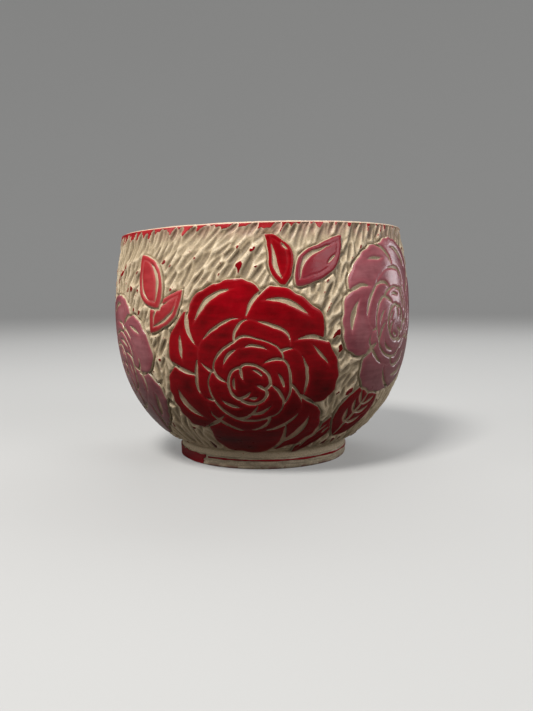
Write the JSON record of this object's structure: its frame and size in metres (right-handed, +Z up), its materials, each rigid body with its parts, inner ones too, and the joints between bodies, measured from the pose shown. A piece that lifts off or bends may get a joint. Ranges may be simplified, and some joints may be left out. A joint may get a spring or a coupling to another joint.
{
  "type": "carved ceramic cup",
  "caption": "Handleless rounded ceramic cup on a low foot ring, with slip blooms and leaves standing on carved buff clay.",
  "frame": {"origin": "on the table, under the centre of the foot ring", "axes": "+Z up out of the cup's mouth; -Y towards the crimson bloom that the picture shows; +X to that view's right"},
  "size_m": [0.092, 0.0922, 0.0703],
  "materials": {
    "clay": "bare fired buff stoneware, matt to satin, with small specks",
    "liner_glaze": "cream glaze, glossy",
    "crimson_slip": "crimson slip under a satin gloss",
    "plum_slip": "plum slip under a satin gloss with a mauve sheen",
    "rim_slip": "thin worn red slip, satin"
  },
  "bodies": {
    "root": {"back_bloom_heart": "crimson_slip", "back_bloom_inner_petals": "crimson_slip", "back_bloom_petals": "crimson_slip", "bud_high": "crimson_slip", "bud_left": "crimson_slip", "bud_low": "crimson_slip", "bud_right": "crimson_slip", "clay_wall": "clay", "foot_ring": "clay", "foot_slip_line": "crimson_slip", "foot_slip_patch": "crimson_slip", "front_bloom_heart": "crimson_slip", "front_bloom_inner_petals": "crimson_slip", "front_bloom_petals": "crimson_slip", "leaf_leaning": "crimson_slip", "leaf_left_back": "crimson_slip", "leaf_left_high": "crimson_slip", "leaf_left_low": "crimson_slip", "leaf_right_back": "crimson_slip", "leaf_right_high": "crimson_slip", "leaf_right_low": "crimson_slip", "leaf_small": "crimson_slip", "leaf_upright": "crimson_slip", "leaf_veined": "crimson_slip", "left_bloom_heart": "plum_slip", "left_bloom_inner_petals": "plum_slip", "left_bloom_petals": "plum_slip", "liner_glaze": "liner_glaze", "right_bloom_heart": "plum_slip", "right_bloom_inner_petals": "plum_slip", "right_bloom_petals": "plum_slip", "rim_slip_band": "rim_slip", "slip_flecks": "crimson_slip"}
  },
  "joints": []
}
